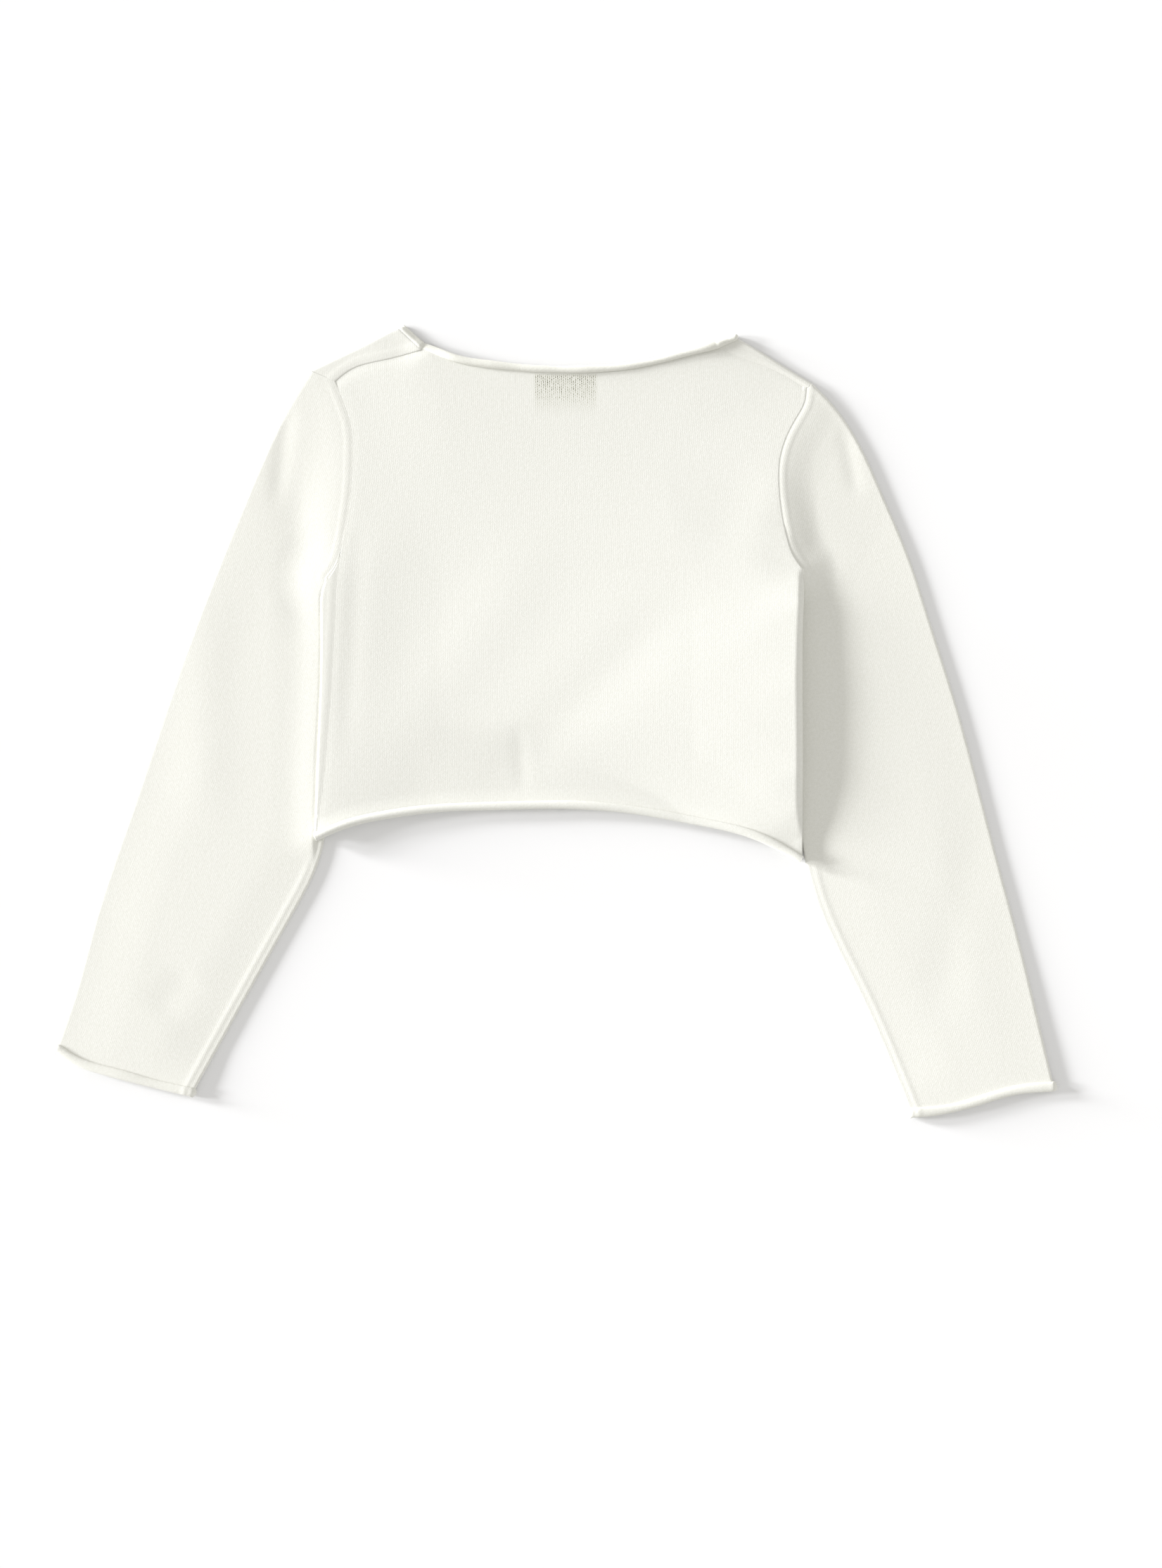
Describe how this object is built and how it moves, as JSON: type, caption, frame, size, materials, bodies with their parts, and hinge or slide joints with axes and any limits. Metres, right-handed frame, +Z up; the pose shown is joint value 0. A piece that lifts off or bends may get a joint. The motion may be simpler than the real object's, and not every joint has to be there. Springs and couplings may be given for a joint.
{
  "type": "cropped cardigan",
  "caption": "Child's cropped cardigan of fine knitted jersey with rolled hem, cuffs and neck, laid flat face down.",
  "frame": {"origin": "middle of the laid-out cardigan's bounding box, at the surface that it lies on", "axes": "+X towards the wearer's right sleeve, +Y from hem to neck, +Z up from the surface, out of the garment's back"},
  "size_m": [0.5188, 0.4093, 0.0113],
  "materials": {
    "jersey_back": "matte fine jersey knit, off-white",
    "jersey_front": "matte fine jersey knit, off-white",
    "jersey_sleeve": "matte fine jersey knit, off-white",
    "rolled_trim": "matte jersey rolled so that its purl side shows, off-white",
    "dark_label": "smooth woven tape, near black, blank"
  },
  "bodies": {
    "root": {"back": "jersey_back", "front_left": "jersey_front", "front_right": "jersey_front", "sleeve_left": "jersey_sleeve", "sleeve_right": "jersey_sleeve", "neck_trim": "rolled_trim", "label": "dark_label"}
  },
  "joints": []
}
